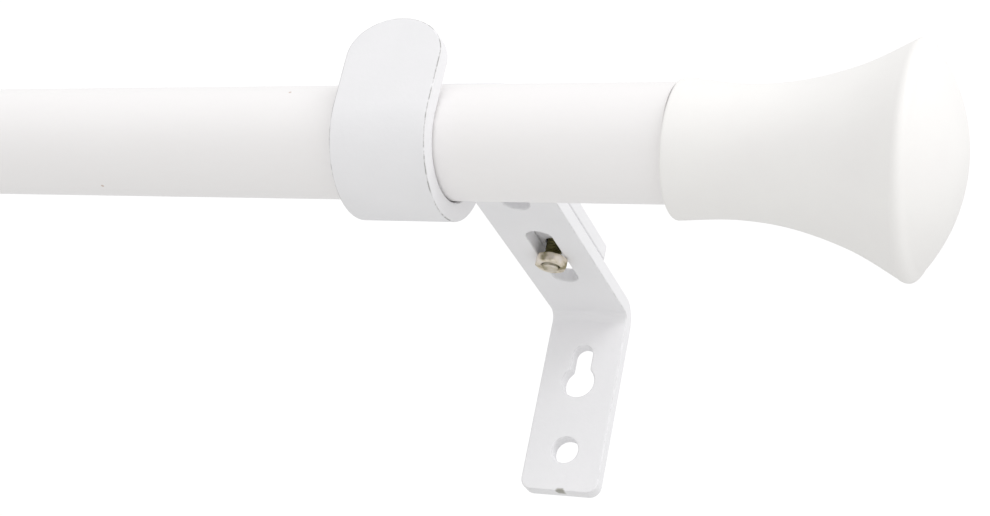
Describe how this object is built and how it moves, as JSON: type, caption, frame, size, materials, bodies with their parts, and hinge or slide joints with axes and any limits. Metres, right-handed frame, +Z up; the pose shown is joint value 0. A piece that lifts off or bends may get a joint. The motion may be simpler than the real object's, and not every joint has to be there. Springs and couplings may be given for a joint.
{
  "type": "curtain rod with brackets",
  "caption": "Telescoping round curtain rod with trumpet finials, resting in open hooks on adjustable L-shaped flat-bar wall brackets.",
  "frame": {"origin": "on the wall face of the right-hand bracket's leg, on its centre line, halfway between the keyhole and the round screw hole", "axes": "+X along the rod to the right-hand finial, +Y into the wall, +Z up"},
  "size_m": [0.7986, 0.1172, 0.0514],
  "materials": {
    "tube_enamel": "semi-gloss warm white enamel on steel tube",
    "bracket_powder_coat": "satin cool white powder coat on steel bar",
    "finial_resin": "matte warm white moulded resin",
    "white_plastic": "satin moulded nylon",
    "yellow_zinc": "yellow passivated zinc plating",
    "spring_steel": "bright zinc plating"
  },
  "bodies": {
    "right_bracket": {"right_wall_strip": "bracket_powder_coat"},
    "right_hook": {"right_hook_strip": "bracket_powder_coat", "right_lock_washer": "spring_steel", "right_clamp_nut": "yellow_zinc"},
    "right_screw": {"right_clamp_screw": "yellow_zinc"},
    "left_bracket": {"left_wall_strip": "bracket_powder_coat"},
    "left_hook": {"left_hook_strip": "bracket_powder_coat", "left_lock_washer": "spring_steel", "left_clamp_nut": "yellow_zinc"},
    "left_screw": {"left_clamp_screw": "yellow_zinc"},
    "rod": {"outer_tube": "tube_enamel", "mouth_bush": "white_plastic"},
    "rod_extension": {"inner_tube": "tube_enamel", "tail_bush": "white_plastic"},
    "right_end": {"right_finial": "finial_resin", "right_finial_stud": "spring_steel", "right_finial_plug": "white_plastic"},
    "left_end": {"left_finial": "finial_resin", "left_finial_stud": "spring_steel", "left_finial_plug": "white_plastic"}
  },
  "joints": [
    {"name": "projection", "type": "slide", "parent": "right_bracket", "child": "right_hook", "axis": [0, -1, 0], "range_m": [-0.004, 0.009]},
    {"name": "right_screw_turn", "type": "hinge", "parent": "right_hook", "child": "right_screw", "pos_m": [0, -0.0302, 0.0269], "axis": [0, 0, 1], "continuous": true},
    {"name": "rod_lift", "type": "slide", "parent": "right_hook", "child": "rod", "axis": [0, 0, 1], "range_m": [0, 0.04]},
    {"name": "telescope", "type": "slide", "parent": "rod", "child": "rod_extension", "axis": [-1, 0, 0], "range_m": [0, 0.508]},
    {"name": "right_finial_pull", "type": "slide", "parent": "rod", "child": "right_end", "axis": [1, 0, 0], "range_m": [0, 0.025]},
    {"name": "left_finial_pull", "type": "slide", "parent": "rod_extension", "child": "left_end", "axis": [-1, 0, 0], "range_m": [0, 0.025]},
    {"name": "bracket_spacing", "type": "slide", "parent": "right_bracket", "child": "left_bracket", "axis": [-1, 0, 0], "range_m": [0, 0.508]},
    {"name": "left_projection", "type": "slide", "parent": "left_bracket", "child": "left_hook", "axis": [0, -1, 0], "range_m": [-0.004, 0.009]},
    {"name": "left_screw_turn", "type": "hinge", "parent": "left_hook", "child": "left_screw", "pos_m": [-0.61892, -0.0302, 0.02845], "axis": [0, 0, 1], "continuous": true}
  ],
  "couplings": [
    {"joint": "bracket_spacing", "follows": "telescope", "ratio": 1},
    {"joint": "left_projection", "follows": "projection", "ratio": 1}
  ]
}
